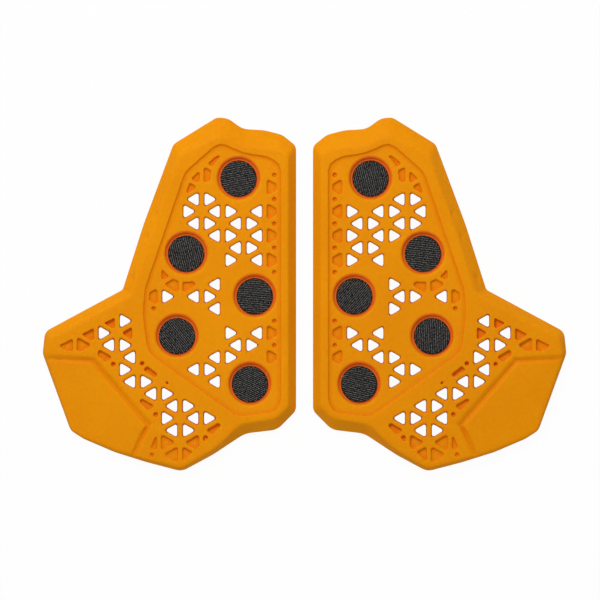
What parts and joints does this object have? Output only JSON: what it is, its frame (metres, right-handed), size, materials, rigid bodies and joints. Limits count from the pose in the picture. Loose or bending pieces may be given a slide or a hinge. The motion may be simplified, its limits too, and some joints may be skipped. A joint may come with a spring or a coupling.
{
  "type": "split body armour pads",
  "caption": "Mirrored pair of vented soft impact pads, each a tall faceted panel with a side wing and round hook-tape discs.",
  "frame": {"origin": "centre of the pair's bounding box, on the plane the pads lie on", "axes": "+X across the pair towards the right pad's wing, +Y towards the top edges, +Z out of the outer faces"},
  "size_m": [0.3584, 0.2416, 0.012],
  "materials": {
    "orange_foam": "matt moulded impact foam",
    "hook_tape": "woven nylon hook tape",
    "adhesive": "thin cured adhesive film"
  },
  "bodies": {
    "left": {"left_pad": "orange_foam", "left_hook_disc_1": "hook_tape", "left_hook_disc_2": "hook_tape", "left_hook_disc_3": "hook_tape", "left_hook_disc_4": "hook_tape", "left_hook_disc_5": "hook_tape", "left_adhesive_disc_1": "adhesive", "left_adhesive_disc_2": "adhesive", "left_adhesive_disc_3": "adhesive", "left_adhesive_disc_4": "adhesive", "left_adhesive_disc_5": "adhesive"},
    "right": {"right_pad": "orange_foam", "right_hook_disc_1": "hook_tape", "right_hook_disc_2": "hook_tape", "right_hook_disc_3": "hook_tape", "right_hook_disc_4": "hook_tape", "right_hook_disc_5": "hook_tape", "right_adhesive_disc_1": "adhesive", "right_adhesive_disc_2": "adhesive", "right_adhesive_disc_3": "adhesive", "right_adhesive_disc_4": "adhesive", "right_adhesive_disc_5": "adhesive"}
  },
  "joints": [
    {"name": "right_pad_lift", "type": "slide", "parent": "left", "child": "right", "axis": [0, 0, 1], "range_m": [0, 0.15]}
  ]
}
